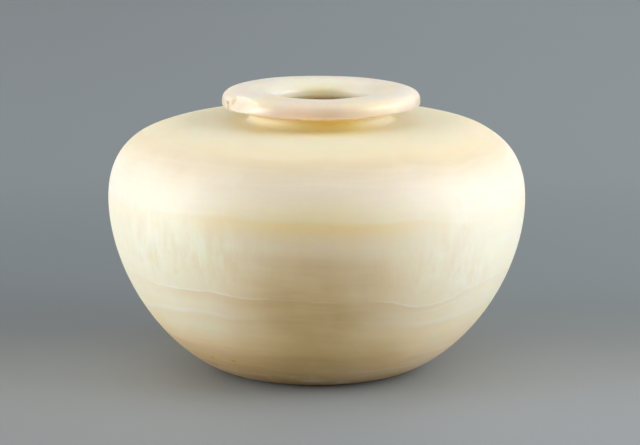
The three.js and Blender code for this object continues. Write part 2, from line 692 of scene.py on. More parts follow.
@dataclass
class Jar:
    """The jar as one fine, closed mesh.

    Attributes:
        form: Its measurements.
        columns: How many points go round it.
        crowding: How much closer the columns are at the front left than elsewhere.
        crowded: The azimuth where they are closest.
        body_ripple: Unevenness of the body.
        lip_ripple: Further unevenness of the lip.
        level: Height over which the unevenness comes in, above the flat underside.
        lip_from: Height above the shoulder where the lip's own finish starts.
        lip_full: Height above the lip's underside where that finish is full.
        mouth_painted_light: Painted light inside the mouth: how much the milky colour lightens its
            shaded walls.
        scar_milk: How milky it is in the flake's scar.
        flake: The scar on the lip.
        pits: The other hollows in its surface.
        clouds: Soft patches of other colour, some of them painted light, glow and shade.
        seams: The lines between beds, from the top one down.
    """

    form: JarForm
    columns: int = 460
    crowding: float = 0.6
    crowded: float = radians(-52)
    body_ripple: Ripple = Ripple(0.09 * MM, 150 * MM, 55 * MM, seed=3)
    lip_ripple: Ripple = Ripple(0.14 * MM, 55 * MM, 22 * MM, seed=8)
    level: float = 3 * MM
    lip_from: float = 2 * MM
    lip_full: float = 1 * MM
    mouth_painted_light: float = 0.85
    scar_milk: float = 0.25
    flake: Flake = Flake()
    pits: list[Pit] = field(default_factory=list)
    clouds: list[Cloud] = field(default_factory=list)
    seams: tuple[Seam, ...] = ()

    def azimuths(self) -> Array:
        """The azimuth of each column.

        With u spread evenly round the turn, it is u - crowding · sin(u - crowded).
        """
        even = np.linspace(0.0, 2 * pi, self.columns, endpoint=False) + self.crowded
        return even - self.crowding * np.sin(even - self.crowded)

    def turned(self) -> tuple[Array, dict[Mark, Array]]:
        """Turns the section about the axis, with the neck and lip slid off it.

        A point at radius r, height h and azimuth a is at x = r sin a + s · offset,
        y = -r cos a and z = h. The share s eases from 0 at the hollow's top to 1 at the
        shoulder's.

        Returns:
            The grid of points, row by row up the section, and the first of its marks.
        """
        form = self.form
        line, hollow = form.section()
        radius, height = line[:, 0:1], line[:, 1:2]
        turn = self.azimuths()[None, :]
        share = smooth_step(height, form.hollow_top, form.shoulder_height)
        points = np.stack(
            (
                radius * np.sin(turn) + share * form.rim_offset,
                -radius * np.cos(turn),
                np.broadcast_to(height, (len(line), self.columns)),
            ),
            axis=-1,
        )
        shape = points.shape[:2]
        lip_start = form.shoulder_height + self.lip_from
        on_lip = smooth_step(height, lip_start, form.lip_underside + self.lip_full)
        marks = {
            Mark.INSIDE: np.broadcast_to(hollow[:, None], shape).astype(float),
            Mark.LIP: np.broadcast_to(on_lip, shape).astype(float),
        }
        return points, marks

    @staticmethod
    def normals(points: Array) -> Array:
        """Outward directions on the grid: the way round crossed with the way up.

        Args:
            points: The grid of points, row by row up the section.

        Returns:
            One direction of length 1 for each point.
        """
        around = np.roll(points, -1, axis=1) - np.roll(points, 1, axis=1)
        up = np.gradient(points, axis=0)
        outward = np.cross(around, up)
        return outward / np.linalg.norm(outward, axis=-1, keepdims=True)

    def surface(self) -> tuple[Array, dict[Mark, Array]]:
        """Works out every point of the jar, with its unevenness, pits and scar.

        Returns:
            The grid of points, and one array of marks for each kind.
        """
        points, marks = self.turned()
        outward = self.normals(points)
        flat = smooth_step(points[..., 2], 0.0, self.level)[..., None]
        height = self.body_ripple.at(points) + marks[Mark.LIP] * self.lip_ripple.at(points)
        points = points + outward * height[..., None] * flat
        points, marks[Mark.SCAR] = self.flake.cut(self.form, points)
        for mark in (Mark.DIRT, Mark.HONEY_AND_GLOW, Mark.ROSE_AND_SHADE, Mark.BROWN, Mark.FEATHER):
            marks[mark] = np.zeros(points.shape[:2])
        # Painted light: the milky colour lightens the mouth's shaded inside.
        in_mouth = self.mouth_painted_light * marks[Mark.INSIDE] * marks[Mark.LIP]
        marks[Mark.MILK_AND_LIGHT] = np.maximum(in_mouth, self.scar_milk * marks[Mark.SCAR])
        for pit in self.pits:
            share = pit.share(points)
            points = points - outward * (share * pit.depth)[..., None]
            marks[Mark.DIRT] = np.maximum(marks[Mark.DIRT], share * pit.dirt)
        for cloud in self.clouds:
            marks[cloud.mark] = 1.0 - (1.0 - marks[cloud.mark]) * (1.0 - cloud.share(points))
        return points, marks

    def bedding(self, points: Array) -> dict[str, Array]:
        """Where each point lies among the stone's beds.

        Each seam gives the height of a point above its line, and its strength there. The bed
        height is read between the seams: a point as far between two of them as a height is
        between their counted heights gets that height.

        Args:
            points: The jar's points.

        Returns:
            One array for each vertex attribute, named for it.
        """
        height = points[..., 2]
        layers = {}
        for seam in self.seams:
            layers[seam.name + "_above"] = height - seam.heights(points)
            layers[seam.name + "_shown"] = seam.strengths(points)
        lines = [(np.zeros_like(height), 0.0)]
        lines += [(seam.heights(points), seam.height) for seam in reversed(self.seams) if seam.guides]
        lines += [(np.full_like(height, self.form.jar_height), self.form.jar_height)]
        bed = height.copy()
        for (floor, floor_counted), (roof, roof_counted) in pairwise(lines):
            share = (height - floor) / (roof - floor)
            counted = floor_counted + share * (roof_counted - floor_counted)
            bed = np.where(height >= floor, counted, bed)
        layers["bed"] = bed
        return layers

    def build(self, name: str) -> bpy.types.Object:
        """Makes the mesh, closed at both poles, with its marks as vertex attributes.

        Args:
            name: The object's name.

        Returns:
            The object, at the origin.
        """
        points, marks = self.surface()
        rows, columns = points.shape[:2]
        grid = np.arange(rows * columns).reshape(rows, columns)
        ahead = np.roll(grid, -1, axis=1)
        quads = np.stack((grid[:-1], ahead[:-1], ahead[1:], grid[1:]), axis=-1).reshape(-1, 4)
        under = np.full(columns, rows * columns)
        floor = under + 1
        fans = np.concatenate(
            (
                np.column_stack((under, ahead[0], grid[0])),
                np.column_stack((floor, grid[-1], ahead[-1])),
            )
        )
        poles = np.array([(0.0, 0.0, points[0, 0, 2]), (0.0, 0.0, points[-1, 0, 2])])
        vertices = np.concatenate((points.reshape(-1, 3), poles))
        mesh = bpy.data.meshes.new(name)
        mesh.from_pydata(vertices, [], quads.tolist() + fans.tolist())
        mesh.update()
        mesh.polygons.foreach_set("use_smooth", np.ones(len(mesh.polygons), bool))
        layers = {mark.value: values for mark, values in marks.items()} | self.bedding(points)
        for layer_name, values in layers.items():
            ends = (values[0].mean(), values[-1].mean())
            layer = mesh.attributes.new(layer_name, "FLOAT", "POINT")
            layer.data.foreach_set("value", np.append(values.ravel(), ends).astype(np.float32))
        piece = bpy.data.objects.new(name, mesh)
        bpy.context.scene.collection.objects.link(piece)
        return piece


class Sum(Enum):
    """What a Math node does with its numbers."""

    ADD = "ADD"
    TAKE = "SUBTRACT"
    TIMES = "MULTIPLY"
    SHARE = "DIVIDE"
    MORE = "MAXIMUM"
    SIZE = "ABSOLUTE"


@dataclass(frozen=True)
class Noise:
    """Soft noise from about 0 to 1, and the share that it can be eased into.

    Attributes:
        scale: Features a metre.
        detail: How many finer layers it has.
        rough: How strong each finer layer is.
        stretch: What x, y and z are multiplied by first, if anything.
        ease: The noise where the share is 0, the noise where it is full, and the full share.
    """

    scale: float
    detail: float = 2.0
    rough: float = 0.5
    stretch: Point | None = None
    ease: Ease = (0.0, 1.0, 1.0)


class Recipe:
    """The nodes of one material, with short ways to add and join them.

    Attributes:
        material: The material.
        tree: Its nodes and the links between them.
        shader: Its shader.
        place: The point on the object, in metres.
    """

    def __init__(self, name: str) -> None:
        """Starts a material with the usual shader.

        Args:
            name: The material's name.
        """
        self.material = bpy.data.materials.new(name)
        self.material.use_nodes = True
        self.tree = self.material.node_tree
        self.shader = next(n for n in self.tree.nodes if n.type == "BSDF_PRINCIPLED")
        self.place = self.node("TexCoord").outputs["Object"]

    def node(self, kind: str, **settings: object) -> bpy.types.Node:
        """Adds a node.

        Args:
            kind: Its type, without the words that all shader nodes start with.
            **settings: Its settings.

        Returns:
            The node.
        """
        made = self.tree.nodes.new("ShaderNode" + kind)
        for setting, choice in settings.items():
            setattr(made, setting, choice)
        return made

    def feed(self, socket: Socket, value: Value | Colour | Point) -> None:
        """Joins a socket to a value, or sets it if the value is plain.

        Args:
            socket: An input.
            value: An output socket, a number or a triple.
        """
        if isinstance(value, bpy.types.NodeSocket):
            self.tree.links.new(value, socket)
        elif isinstance(value, tuple) and socket.type == "RGBA":
            socket.default_value = (*value, 1.0)
        else:
            socket.default_value = value

    def look(self, looks: dict[str, Value | Colour | Point]) -> None:
        """Feeds the shader's inputs, by name."""
        for name, value in looks.items():
            self.feed(self.shader.inputs[name], value)

    def math(self, rule: Sum, first: Value, second: Value = 0.0) -> Socket:
        """Works out a rule on two values.

        Args:
            rule: What is done with them.
            first: The first value.
            second: The second, where the rule has one.

        Returns:
            The result.
        """
        made = self.node("Math", operation=rule.value)
        self.feed(made.inputs[0], first)
        self.feed(made.inputs[1], second)
        return made.outputs[0]

    def eased(self, value: Value, low: float, high: float, to: float = 1.0) -> Socket:
        """Eases a value into a share, with 3t² - 2t³ of the way t from `low` to `high`.

        Args:
            value: The value.
            low: Where the share is 0.
            high: Where it is full, above `low` or below it.
            to: The full share.

        Returns:
            The share.
        """
        made = self.node("MapRange", interpolation_type="SMOOTHSTEP")
        self.feed(made.inputs["Value"], value)
        for name, number in (("From Min", low), ("From Max", high), ("To Min", 0.0), ("To Max", to)):
            self.feed(made.inputs[name], number)
        return made.outputs["Result"]

    def parts(self, point: Socket) -> tuple[Socket, Socket, Socket]:
        """Takes a point apart.

        Args:
            point: The point.

        Returns:
            Its x, y and z.
        """
        made = self.node("SeparateXYZ")
        self.feed(made.inputs[0], point)
        return tuple(made.outputs)

    def point(self, x: Value, y: Value, z: Value) -> Socket:
        """Puts a point together.

        Args:
            x: Its x.
            y: Its y.
            z: Its z.

        Returns:
            The point.
        """
        made = self.node("CombineXYZ")
        for socket, value in zip(made.inputs, (x, y, z), strict=True):
            self.feed(socket, value)
        return made.outputs[0]

    def stretched(self, point: Socket, scale: Point) -> Socket:
        """Multiplies each part of a point by a number.

        Args:
            point: The point.
            scale: The three numbers.

        Returns:
            The new point.
        """
        made = self.node("Mapping", vector_type="POINT")
        self.feed(made.inputs["Vector"], point)
        made.inputs["Scale"].default_value = scale
        return made.outputs[0]

    def noise(self, point: Socket, kind: Noise) -> Socket:
        """Reads a noise at a point.

        Args:
            point: The point.
            kind: The noise.

        Returns:
            A number from about 0 to 1.
        """
        made = self.node("TexNoise")
        stretched = self.stretched(point, kind.stretch) if kind.stretch else point
        self.feed(made.inputs["Vector"], stretched)
        self.feed(made.inputs["Scale"], kind.scale)
        self.feed(made.inputs["Detail"], kind.detail)
        self.feed(made.inputs["Roughness"], kind.rough)
        return made.outputs["Fac"]

    def share(self, point: Socket, kind: Noise) -> Socket:
        """The share that a noise at a point is eased into."""
        return self.eased(self.noise(point, kind), *kind.ease)

    def swing(self, point: Socket, kind: Noise, reach: float) -> Socket:
        """A length that a noise moves about 0, over `reach` from its least to its most."""
        return self.math(Sum.TIMES, self.math(Sum.TAKE, self.noise(point, kind), 0.5), reach)

    def read(self, name: str) -> Socket:
        """A vertex attribute of the piece."""
        return self.node("Attribute", attribute_name=name).outputs["Fac"]

    def mark(self, mark: Mark) -> Socket:
        """The vertex attribute of a mark."""
        return self.read(mark.value)

    def tint(self, share: Value, below: Socket | Colour, above: Socket | Colour) -> Socket:
        """Lays one colour over another.

        Args:
            share: How much of the upper colour shows.
            below: The lower colour.
            above: The upper colour.

        Returns:
            The mixed colour.
        """
        made = self.node("Mix", data_type="RGBA")
        colours = [socket for socket in made.inputs if socket.type == "RGBA"]
        for socket, value in zip((made.inputs["Factor"], *colours), (share, below, above), strict=True):
            self.feed(socket, value)
        return made.outputs[2]

    def ramp(self, value: Socket, stops: tuple[tuple[float, Colour], ...], curve: str) -> Socket:
        """Reads a colour from stops.

        Args:
            value: Where to read, from 0 to 1.
            stops: Places from 0 to 1 and the colour at each, in order.
            curve: The kind of curve between them.

        Returns:
            The colour.
        """
        made = self.node("ValToRGB")
        scale = made.color_ramp
        scale.interpolation = curve
        while len(scale.elements) < len(stops):
            scale.elements.new(0.5)
        for element, (position, colour) in zip(scale.elements, stops, strict=True):
            element.position = position
            element.color = (*colour, 1.0)
        self.feed(made.inputs[0], value)
        return made.outputs[0]

    def bump(self, height: Socket, depth: float) -> Socket:
        """Tilts the surface's direction by a height.

        Args:
            height: The height, from 0 to 1.
            depth: The length that 1 stands for.

        Returns:
            The tilted direction.
        """
        made = self.node("Bump")
        made.inputs["Strength"].default_value = 1.0
        made.inputs["Distance"].default_value = depth
        self.feed(made.inputs["Height"], height)
        return made.outputs[0]


@dataclass(frozen=True)
class Calcite:
    """Translucent banded calcite, polished by hand and worn.

    Attributes:
        height: The jar's height, where the beds end.
        seams: The lines between beds.
        beds: Colours up the jar, at bed heights as shares of its height, with painted light and shade
            in them.
        milk_and_light: Colour of the milky clouds and laminae, also laid as painted light and a painted
            highlight.
        feather: Colour of the feathery streaks.
        between: Colour of the darker stone between them.
        honey_and_glow: Colour of the clear amber stone, also laid as painted amber glow and shade in
            the groove, the mouth and on the body's front.
        rose_and_shade: Colour of the pinkish clouds, also laid as painted shade on the lip's front.
        brown: Colour of the brown clouds, also laid as painted shade on the body's front.
        grime: Colour of the dirt in pits.
        glow: How far light travels in the stone, by colour.
        glow_scale: What `glow` is multiplied by, as a length.
        index: Its index of refraction.
        wander: Noise that moves the beds up and down.
        wander_reach: How far it moves them, from lowest to highest.
        laminae: Fine milky sheets that follow the beds.
        sheet_stretch: What x and y are multiplied by in the laminae, which makes them long.
        cloudiness: Slow milky clouds all over.
        least_brown: Share of the brown colour that shows everywhere in a brown cloud.
        bands: Further share of it in level bands, with bands counted along z.
        band_height: Height that one of them counts for.
        band_stretch: What x and y are multiplied by there, in features a metre.
        streaks: Further share of it in upright streaks.
        fibres: Fine noise of the feathery streaks.
        mottle: Broad noise of the feathery streaks.
        gap_ease: Where the mean of both is eased into the darker stone, and its share.
        feather_ease: Where it is eased into the milky streaks, and their share.
        seam_wander: Noise that moves the seams up and down.
        seam_reach: How far it moves them, from lowest to highest.
        seam_patches: Share of a seam's strength that comes and goes along it.
        seam_least: Share of its strength that shows everywhere.
        seam_edge: Half the height over which the shade under a seam begins.
        seam_line: Distances from a seam's middle where its line ends and is full, in breadths.
        wear: Worn patches, by how much rougher they are.
        satin: Roughness of the body between them.
        polish: How much glossier the lip is.
        dullness: How much rougher dirt and broken stone are.
        grain: Noise of the finest relief.
        grain_depth: How deep that is.
    """

    height: float
    seams: tuple[Seam, ...]
    beds: tuple[tuple[float, Colour], ...] = (
        # Darker towards the bottom: partly the stone's honey tone, partly painted shade where less
        # light reaches the lower body.
        (0.00, (0.53, 0.35, 0.15)),
        (0.07, (0.57, 0.375, 0.155)),
        (0.12, (0.77, 0.55, 0.26)),
        (0.18, (0.91, 0.70, 0.40)),
        (0.27, (0.96, 0.81, 0.57)),
        (0.36, (0.96, 0.83, 0.64)),
        (0.45, (0.96, 0.84, 0.66)),
        (0.56, (0.94, 0.84, 0.69)),
        (0.66, (0.90, 0.82, 0.69)),
        (0.73, (0.86, 0.79, 0.69)),
        (0.80, (0.80, 0.72, 0.58)),
        (0.835, (0.77, 0.68, 0.48)),
        # Painted light: lighter round the root of the neck and in the groove, against the shade under
        # the lip.
        (0.865, (0.92, 0.79, 0.55)),
        (0.915, (0.98, 0.87, 0.65)),
        # Painted shade and light on the lip: darker on its outer face, which the lamps light less, and
        # lighter on its top.
        (0.932, (0.80, 0.68, 0.50)),
        (0.947, (0.60, 0.52, 0.42)),
        (0.975, (0.63, 0.55, 0.44)),
        (0.993, (0.84, 0.80, 0.71)),
        (1.00, (0.90, 0.88, 0.83)),
    )
    milk_and_light: Colour = (0.97, 0.90, 0.78)
    feather: Colour = (0.99, 0.92, 0.78)
    between: Colour = (0.80, 0.67, 0.44)
    honey_and_glow: Colour = (0.97, 0.77, 0.26)
    rose_and_shade: Colour = (0.84, 0.64, 0.52)
    brown: Colour = (0.50, 0.32, 0.09)
    grime: Colour = (0.42, 0.24, 0.09)
    glow: Point = (0.85, 0.55, 0.30)
    glow_scale: float = 13 * MM
    index: float = 1.6
    wander: Noise = Noise(16.0, 3.0)
    wander_reach: float = 6 * MM
    laminae: Noise = Noise(260.0, 3.0, 0.6, ease=(0.40, 0.72, 0.22))
    sheet_stretch: float = 0.06
    cloudiness: Noise = Noise(21.0, 4.0, 0.55, ease=(0.42, 0.70, 0.28))
    least_brown: float = 0.7
    bands: Noise = Noise(1.0, 3.0, 0.6, ease=(0.3, 0.7, 0.4))
    band_height: float = 10 * MM
    band_stretch: float = 12.0
    streaks: Noise = Noise(55.0, stretch=(1.0, 1.0, 0.4), ease=(0.3, 0.7, 0.2))
    fibres: Noise = Noise(250.0, 3.0, 0.6, stretch=(1.0, 1.0, 0.24))
    mottle: Noise = Noise(75.0, 4.0, 0.6, stretch=(1.0, 1.0, 0.6))
    gap_ease: Ease = (0.50, 0.38, 0.28)
    feather_ease: Ease = (0.45, 0.60, 0.85)
    seam_wander: Noise = Noise(70.0, 4.0, 0.6)
    seam_reach: float = 2.6 * MM
    seam_patches: Noise = Noise(55.0, 3.0, ease=(0.35, 0.62, 0.7))
    seam_least: float = 0.6
    seam_edge: float = 0.8 * MM
    seam_line: tuple[float, float] = (1.4, 0.5)
    wear: Noise = Noise(30.0, 4.0, ease=(0.35, 0.7, 0.12))
    satin: float = 0.50
    polish: float = 0.2
    dullness: float = 0.3
    grain: Noise = Noise(900.0, 3.0)
    grain_depth: float = 0.03 * MM

    def material(self, name: str) -> bpy.types.Material:
        """Makes the stone's material.

        Args:
            name: The material's name.

        Returns:
            The material.
        """
        recipe = Recipe(name)
        colour = self.lay_beds(recipe)
        colour = self.lay_feathers(recipe, colour)
        for seam in self.seams:
            colour = self.lay_seam(recipe, seam, colour)
        for share, above in (
            (recipe.mark(Mark.MILK_AND_LIGHT), self.milk_and_light),
            (recipe.mark(Mark.ROSE_AND_SHADE), self.rose_and_shade),
            (recipe.mark(Mark.HONEY_AND_GLOW), self.honey_and_glow),
            (self.uneven_brown(recipe), self.brown),
            (recipe.mark(Mark.DIRT), self.grime),
        ):
            colour = recipe.tint(share, colour, above)
        recipe.look(
            {
                "Base Color": colour,
                "Roughness": self.roughness(recipe),
                "Normal": recipe.bump(recipe.noise(recipe.place, self.grain), self.grain_depth),
                "Subsurface Weight": 1.0,
                "Subsurface Radius": self.glow,
                "Subsurface Scale": self.glow_scale,
                "IOR": self.index,
            }
        )
        return recipe.material

    def lay_beds(self, recipe: Recipe) -> Socket:
        """The colours of the beds, with painted light and shade in them, fine laminae along them and
        slow cloudiness.

        Args:
            recipe: The stone's nodes.

        Returns:
            The colour.
        """
        bed = recipe.read("bed")
        strayed = recipe.math(Sum.ADD, bed, recipe.swing(recipe.place, self.wander, self.wander_reach))
        colour = recipe.ramp(recipe.math(Sum.SHARE, strayed, self.height), self.beds, "B_SPLINE")
        across, along, _ = recipe.parts(recipe.place)
        long_across = recipe.math(Sum.TIMES, across, self.sheet_stretch)
        long_along = recipe.math(Sum.TIMES, along, self.sheet_stretch)
        sheet = recipe.point(long_across, long_along, strayed)
        below_lip = recipe.math(Sum.TAKE, 1.0, recipe.mark(Mark.LIP))
        milky = recipe.math(Sum.TIMES, recipe.share(sheet, self.laminae), below_lip)
        colour = recipe.tint(milky, colour, self.milk_and_light)
        return recipe.tint(recipe.share(recipe.place, self.cloudiness), colour, self.milk_and_light)

    def uneven_brown(self, recipe: Recipe) -> Socket:
        """How much of the brown colour shows where it is marked so, in level bands with upright
        streaks; on the body's front it is partly painted shade.

        Args:
            recipe: The stone's nodes.

        Returns:
            The share of the brown colour.
        """
        band = recipe.math(Sum.SHARE, recipe.read("bed"), self.band_height)
        wide = recipe.stretched(recipe.place, (self.band_stretch, self.band_stretch, 1.0))
        across, along, _ = recipe.parts(wide)
        bands = recipe.share(recipe.point(across, along, band), self.bands)
        streaks = recipe.share(recipe.place, self.streaks)
        share = recipe.math(Sum.ADD, self.least_brown, recipe.math(Sum.ADD, bands, streaks))
        return recipe.math(Sum.TIMES, recipe.mark(Mark.BROWN), share)

    def lay_feathers(self, recipe: Recipe, below: Socket) -> Socket:
        """Soft upright streaks of milky crystal, where the stone is marked as feathery.

        Args:
            recipe: The stone's nodes.
            below: The colour that they are laid over.

        Returns:
            The colour.
        """
        noises = (recipe.noise(recipe.place, kind) for kind in (self.fibres, self.mottle))
        both = recipe.math(Sum.ADD, *(recipe.math(Sum.TIMES, noise, 0.5) for noise in noises))
        marked = recipe.mark(Mark.FEATHER)
        gaps = recipe.math(Sum.TIMES, recipe.eased(both, *self.gap_ease), marked)
        streaks = recipe.math(Sum.TIMES, recipe.eased(both, *self.feather_ease), marked)
        return recipe.tint(streaks, recipe.tint(gaps, below, self.between), self.feather)

    def lay_seam(self, recipe: Recipe, seam: Seam, below: Socket) -> Socket:
        """Draws one seam over a colour.

        The line strays a little up and down, and slow noise makes it fainter in places. The
        stone's shade starts at the line and fades out downwards.

        Args:
            recipe: The stone's nodes.
            seam: The seam.
            below: The colour that it is laid over.

        Returns:
            The colour.
        """
        swing = recipe.swing(recipe.place, self.seam_wander, self.seam_reach)
        above = recipe.math(Sum.ADD, recipe.read(seam.name + "_above"), swing)
        shown = recipe.read(seam.name + "_shown")
        under = recipe.eased(above, self.seam_edge, -self.seam_edge, seam.shaded)
        fading = recipe.eased(above, -seam.fade, 0.0)
        shade = recipe.math(Sum.TIMES, recipe.math(Sum.TIMES, under, fading), shown)
        shaded = recipe.tint(shade, below, seam.shade)
        end, full = (breadths * seam.breadth for breadths in self.seam_line)
        line = recipe.eased(recipe.math(Sum.SIZE, above), end, full)
        patchy = recipe.math(Sum.ADD, self.seam_least, recipe.share(recipe.place, self.seam_patches))
        strength = recipe.math(Sum.TIMES, line, recipe.math(Sum.TIMES, patchy, shown))
        return recipe.tint(strength, shaded, seam.colour)

    def roughness(self, recipe: Recipe) -> Socket:
        """A worn satin, glossier on the lip and dull in dirt and on broken stone.

        Args:
            recipe: The stone's nodes.

        Returns:
            The roughness.
        """
        base = recipe.math(Sum.ADD, recipe.share(recipe.place, self.wear), self.satin)
        gloss = recipe.math(Sum.TIMES, recipe.mark(Mark.LIP), self.polish)
        polished = recipe.math(Sum.TAKE, base, gloss)
        dull = recipe.math(Sum.MORE, recipe.mark(Mark.SCAR), recipe.mark(Mark.DIRT))
        return recipe.math(Sum.ADD, polished, recipe.math(Sum.TIMES, dull, self.dullness))


@dataclass(frozen=True)
class SoftLight:
    """A wide, soft studio light.

    Attributes:
        name: Its name.
        place: Its middle.
        size: Width and height.
        power: Power in watts.
        colour: Its colour.
    """

    name: str
    place: Point
    size: tuple[float, float]
    power: float
    colour: Colour = (1.0, 1.0, 1.0)

    def hang(self, target: Point) -> None:
        """Adds the light.

        Args:
            target: The point that it is turned to.
        """
        lamp = bpy.data.lights.new(self.name, "AREA")
        lamp.shape = "RECTANGLE"
        lamp.size, lamp.size_y = self.size
        lamp.energy = self.power
        lamp.color = self.colour
        light = bpy.data.objects.new(self.name, lamp)
        light.location = self.place
        light.rotation_euler = (Vector(target) - Vector(self.place)).to_track_quat("-Z", "Y").to_euler()
        bpy.context.scene.collection.objects.link(light)


@dataclass(frozen=True)
class Studio:
    """The floor, the lights and the camera.

    Attributes:
        target: Where the camera looks.
        elevation: How far the camera looks down.
        distance: From the camera to the target.
        lens_mm: Focal length.
        sensor_mm: Width of the sensor.
        sight: How far the camera sees.
        floor_radius: Radius of the floor.
        floor_sides: Its corners.
        floor_roughness: Its roughness.
        floor_span: The near and the far end of the floor's painted light and shade, along +Y.
        floor_light_and_shade: Shares of that span, with the painted tone of the left side and of the
            right.
        floor_blend: How far from the middle each side's tone is full.
        sky: Colour of the light from all round.
        sky_strength: How strong it is.
        lights: The lights.
    """

    target: Point = (1.85 * MM, 0.0, 76.8 * MM)
    elevation: float = radians(11.09)
    distance: float = 1.7197
    lens_mm: float = 182.6
    sensor_mm: float = 36.0
    sight: float = 200.0
    floor_radius: float = 40.0
    floor_sides: int = 96
    floor_roughness: float = 0.7
    floor_span: tuple[float, float] = (-0.25, 1.75)
    # Painted light and shade: lighter near the camera and round the jar's foot, a darker band behind
    # the jar, lighter again far off, and lighter on the right.
    floor_light_and_shade: tuple[tuple[float, Colour, Colour], ...] = (
        (0.00, (0.255, 0.277, 0.287), (0.300, 0.326, 0.370)),
        (0.04, (0.250, 0.272, 0.284), (0.300, 0.330, 0.370)),
        (0.10, (0.275, 0.301, 0.320), (0.305, 0.333, 0.356)),
        (0.15, (0.210, 0.235, 0.260), (0.245, 0.274, 0.288)),
        (0.21, (0.165, 0.196, 0.226), (0.200, 0.240, 0.264)),
        (0.40, (0.230, 0.274, 0.309), (0.256, 0.303, 0.339)),
        (0.79, (0.286, 0.341, 0.396), (0.331, 0.398, 0.459)),
        (1.00, (0.290, 0.350, 0.400), (0.340, 0.410, 0.470)),
    )
    floor_blend: float = 0.3
    sky: Colour = (0.537, 0.507, 0.457)
    sky_strength: float = 1.0
    lights: tuple[SoftLight, ...] = (
        SoftLight("low_left_light", (-1.35, -0.20, 0.15), (1.0, 0.6), 12.6),
        SoftLight("left_light", (-1.30, -0.25, 0.75), (1.3, 0.8), 6.2),
        SoftLight("low_right_light", (1.35, -0.20, 0.15), (1.0, 0.6), 6.8),
        SoftLight("right_light", (1.30, -0.25, 0.75), (1.3, 0.8), 12.9, (0.98, 1.0, 1.05)),
        SoftLight("top_light", (0.0, 0.1, 1.7), (1.0, 0.8), 0.9),
    )

    def lay_floor(self) -> bpy.types.Object:
        """Makes a wide round floor at height 0, with light and shade painted on it in slow tones.

        Returns:
            The floor.
        """
        turn = np.linspace(0.0, 2 * pi, self.floor_sides, endpoint=False)
        rim = np.column_stack((np.cos(turn), np.sin(turn), np.zeros_like(turn))) * self.floor_radius
        mesh = bpy.data.meshes.new("floor")
        mesh.from_pydata(rim.tolist(), [], [list(range(self.floor_sides))])
        recipe = Recipe("grey_floor")
        across, along, _ = recipe.parts(recipe.place)
        near, far = self.floor_span
        share = recipe.math(Sum.SHARE, recipe.math(Sum.TAKE, along, near), far - near)
        sides = (tuple((stop, tones[side]) for stop, *tones in self.floor_light_and_shade) for side in (0, 1))
        left, right = (recipe.ramp(share, stops, "CARDINAL") for stops in sides)
        rightness = recipe.eased(across, -self.floor_blend, self.floor_blend)
        colour = recipe.tint(rightness, left, right)
        recipe.look({"Base Color": colour, "Roughness": self.floor_roughness})
        mesh.materials.append(recipe.material)
        floor = bpy.data.objects.new("floor", mesh)
        bpy.context.scene.collection.objects.link(floor)
        return floor

    def light_up(self) -> None:
        """Adds the sky and the lights, and sets how light becomes colour."""
        scene = bpy.context.scene
        world = bpy.data.worlds.new("sky")
        world.use_nodes = True
        sky = world.node_tree.nodes["Background"]
        sky.inputs["Color"].default_value = (*self.sky, 1.0)
        sky.inputs["Strength"].default_value = self.sky_strength
        scene.world = world
        for light in self.lights:
            light.hang(self.target)
        scene.view_settings.view_transform = "Standard"

    def aim(self) -> None:
        """Places the camera at the photographed angle."""
        camera = bpy.data.cameras.new("camera")
        camera.sensor_width = self.sensor_mm
        camera.lens = self.lens_mm
        camera.clip_end = self.sight
        view = bpy.data.objects.new("camera", camera)
        back = Vector((0.0, -cos(self.elevation), sin(self.elevation)))
        view.location = Vector(self.target) + back * self.distance
        view.rotation_euler = (-back).to_track_quat("-Z", "Y").to_euler()
        bpy.context.scene.collection.objects.link(view)
        bpy.context.scene.camera = view


